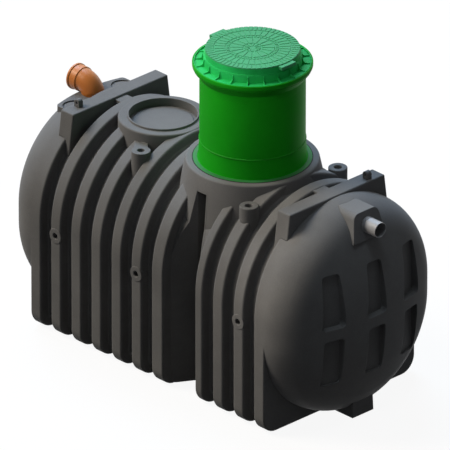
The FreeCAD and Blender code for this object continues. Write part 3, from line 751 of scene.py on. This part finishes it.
def makeLidTread():
    build = bmesh.new()
    for row, (inner, outer, count) in enumerate(lidTread["rings"]):
        step = 2 * math.pi / count
        for i in range(count):
            start = (i + 0.5 * (row % 2)) * step
            treadBar(build, inner, outer, start, start + step)
    finishPiece("lidTread", build, "lid_plastic")


makeLidTread()
print("lid tread made")


# which sharp edges of a moulding are rounded, by where their middles lie in its box
def nearTop(depth):
    return lambda p, low, high: p.z > high.z - depth


def underTop(least, most):
    return lambda p, low, high: high.z - most < p.z < high.z - least


def nearFoot(height):
    return lambda p, low, high: p.z < low.z + height


def aboveFoot(height):
    return lambda p, low, high: p.z > low.z + height


def nearOutlet(depth):
    return lambda p, low, high: p.x > high.x - depth


def nearSide(depth):
    return lambda p, low, high: p.y < low.y + depth


def farSide(depth):
    return lambda p, low, high: p.y > high.y - depth


def outsideOf(axisX, radius, chosen):
    return lambda p, low, high: (chosen(p, low, high)
                                 and math.hypot(p.x - axisX, p.y) > radius)


# mouldings whose edges are really rounded, with (width of the round, edges that get it);
# the domes get none and are only cleaned
postRounds = ((0.006, nearTop(0.004)),)
footRounds = ((0.008, nearFoot(0.03)),)
lugRounds = ((0.003, aboveFoot(0.004)),)
roundedNodes = {
    "front_near_post": postRounds, "front_far_post": postRounds,
    "rear_near_post": postRounds, "rear_far_post": postRounds,
    "blind_neck": ((0.010, outsideOf(blindX, 0.24, underTop(0.008, 0.016))),
                   (0.003, nearTop(0.002))),
    "main_neck": ((0.010, outsideOf(mainX, 0.36, nearTop(0.002))),),
    "inlet_platform": ((0.006, nearTop(0.002)),),
    "rear_foot": footRounds, "front_foot": footRounds,
    "outlet_boss": ((0.005, nearOutlet(0.045)),),
    "rear_lug": lugRounds, "front_lug": lugRounds,
    "near_side_eyes": ((0.004, nearSide(0.002)),),
    "far_side_eyes": ((0.004, farSide(0.002)),),
    "outlet_pipe": ((0.001, nearOutlet(0.001)),),
    "rear_dome": (), "front_dome": (),
}
nodeRounding = {"samePoint": 0.00002, "sliver": 0.0002, "flatAngle": 0.6, "edgeAngle": 35.0,
                "steps": 4, "sharpAngle": 38.0}


def makeRoundedNode(node, rounds, slot):
    build = bmesh.new()
    build.from_mesh(nodes[node].data)
    if rounds:
        bmesh.ops.remove_doubles(build, verts=build.verts, dist=nodeRounding["samePoint"])
        bmesh.ops.dissolve_limit(build, angle_limit=math.radians(nodeRounding["flatAngle"]),
                                 verts=build.verts, edges=build.edges)
    else:  # the domes' pocket floors have slivers that catch the light
        cleanBuild(build, nodeRounding["samePoint"], nodeRounding["sliver"])
    low, high = (Vector(corner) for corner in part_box(node))
    limit = math.radians(nodeRounding["edgeAngle"])
    for width, chosen in rounds:
        sharp = []
        for edge in build.edges:
            middle = (edge.verts[0].co + edge.verts[1].co) / 2
            folded = len(edge.link_faces) == 2 and edge.calc_face_angle(0.0) > limit
            if folded and chosen(middle, low, high):
                sharp.append(edge)
        roundEdges(build, sharp, width, nodeRounding["steps"])
    piece = finishPiece(camelName(node), build, slot, sharpAngle=nodeRounding["sharpAngle"],
                        weighted=True)
    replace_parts(piece, node)


for node, rounds in roundedNodes.items():
    makeRoundedNode(node, rounds, nodeSlots[node])
print("edges rounded or cleaned on", len(roundedNodes), "mouldings")


# inlet bend: an upright tail, a right-angle bend and a socket with a rounded bead,
# from (way along the axis, radius) points
inletBend = {
    "tailX": -1.050, "bendStart": 1.213, "bendRadius": 0.080,
    "longest": 0.005, "steps": 96, "sharpAngle": 45.0,
    "wall": ((-0.0930, 0.0625), (0.0190, 0.0625), (0.0300, 0.0660), (0.1100, 0.0662),
             (0.1240, 0.0682), (0.1268, 0.0694), (0.1278, 0.0720), (0.1292, 0.0736),
             (0.1310, 0.0740), (0.1765, 0.0740), (0.1773, 0.0748), (0.1778, 0.0766),
             (0.1788, 0.0780), (0.1805, 0.0785), (0.1895, 0.0785), (0.1912, 0.0778),
             (0.1917, 0.0762), (0.1917, 0.0718), (0.1905, 0.0705), (0.1737, 0.0705),
             (0.1737, 0.0628), (0.1297, 0.0628), (0.1297, 0.0585), (-0.0930, 0.0585)),
}


def bendPlace(along):
    # point on the pipe's axis, and the direction across it
    radius = inletBend["bendRadius"]
    angle = min(max(along, 0.0) / radius, math.pi / 2)
    a, b = math.cos(angle), math.sin(angle)
    x = inletBend["tailX"] - radius * (1 - a) - max(along - radius * math.pi / 2, 0.0)
    z = inletBend["bendStart"] + radius * b + min(along, 0.0)
    return Vector((x, 0.0, z)), Vector((a, 0.0, b))


def bendWall():
    # long stretches of the wall are divided so that they follow the bend
    wall, points = inletBend["wall"], []
    for (startWay, startRadius), (endWay, endRadius) in zip(wall, wall[1:] + wall[:1]):
        parts = max(1, math.ceil(abs(endWay - startWay) / inletBend["longest"]))
        for i in range(parts):
            share = i / parts
            points.append((startWay + (endWay - startWay) * share,
                           startRadius + (endRadius - startRadius) * share))
    return points


def makeInletBend():
    build = bmesh.new()
    sideways, steps = Vector((0.0, 1.0, 0.0)), inletBend["steps"]
    rings = []
    for way, radius in bendWall():
        middle, across = bendPlace(way)
        ring = []
        for i in range(steps):
            angle = 2 * math.pi * i / steps
            spoke = math.cos(angle) * across + math.sin(angle) * sideways
            ring.append(build.verts.new(middle + radius * spoke))
        rings.append(ring)
    for here, there in zip(rings, rings[1:] + rings[:1]):
        bridgeRings(build, here, there)
    piece = finishPiece("inletBend", build, "inlet_plastic", sharpAngle=inletBend["sharpAngle"])
    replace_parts(piece, "inlet_bend")


makeInletBend()
print("inlet bend made")


# riser trim: lower ring, flange, collar, the seam over the lower ring, the neck's seal
riserTrim = {
    "riserBase": {
        "profile": ((0.292, 1.288), (0.338, 1.288), (0.338, 1.3015), (0.3082, 1.3015),
                    (0.3006, 1.4185), (0.3006, 1.427), (0.292, 1.427)),
        "rounds": {3: 0.004}, "roundSteps": 4,
    },
    "riserFlange": {
        "profile": ((0.3108, 1.2990), (0.3373, 1.2990), (0.3373, 1.3032), (0.3130, 1.3040)),
        "rounds": {2: 0.0014}, "roundSteps": 4,
    },
    "riserCollar": {
        "profile": ((0.292, 1.780), (0.300, 1.780), (0.300, 1.817), (0.341, 1.875),
                    (0.341, 1.900), (0.333, 1.900), (0.333, 1.860), (0.318, 1.860),
                    (0.292, 1.815)),
        "rounds": {2: 0.006, 3: 0.020, 4: 0.0028, 5: 0.0022}, "roundSteps": 6,
    },
    "riserSeam": {
        "profile": ((0.2985, 1.4185), (0.3036, 1.4195), (0.3042, 1.4222), (0.2985, 1.4292)),
        "rounds": {}, "roundSteps": 0,
    },
    "neckSeal": {
        "profile": ((0.3372, 1.2950), (0.3372, 1.3014), (0.3388, 1.3024), (0.3412, 1.3022),
                    (0.3424, 1.3010), (0.3424, 1.2950)),
        "rounds": {}, "roundSteps": 0,
    },
}


def riserRing(name, look):
    ring = riserTrim[name]
    profile = roundCorners(ring["profile"], ring["rounds"], ring["roundSteps"])
    return ringPiece(name, profile, "riser_plastic", look, riserAxis)


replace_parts(riserRing("riserBase", "riser_plastic"), "riser_base")
riserRing("riserFlange", "flange_plastic")
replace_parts(riserRing("riserCollar", "riser_plastic"), "riser_collar")
riserRing("riserSeam", "riser_seam")
riserRing("neckSeal", "seal_rubber")

# seal in the inlet socket, of (radius, x) points about the socket's level axis
socketSeal = {
    "centre": (0.0, 0.0, 1.293), "steps": 96,
    "profile": ((0.0605, -1.1850), (0.0625, -1.1885), (0.0700, -1.1905), (0.0700, -1.1800),
                (0.0640, -1.1805)),
}
ringPiece("socketSeal", socketSeal["profile"], "inlet_plastic", "seal_rubber",
          socketSeal["centre"], "X", socketSeal["steps"])
print("riser trim and seals made")
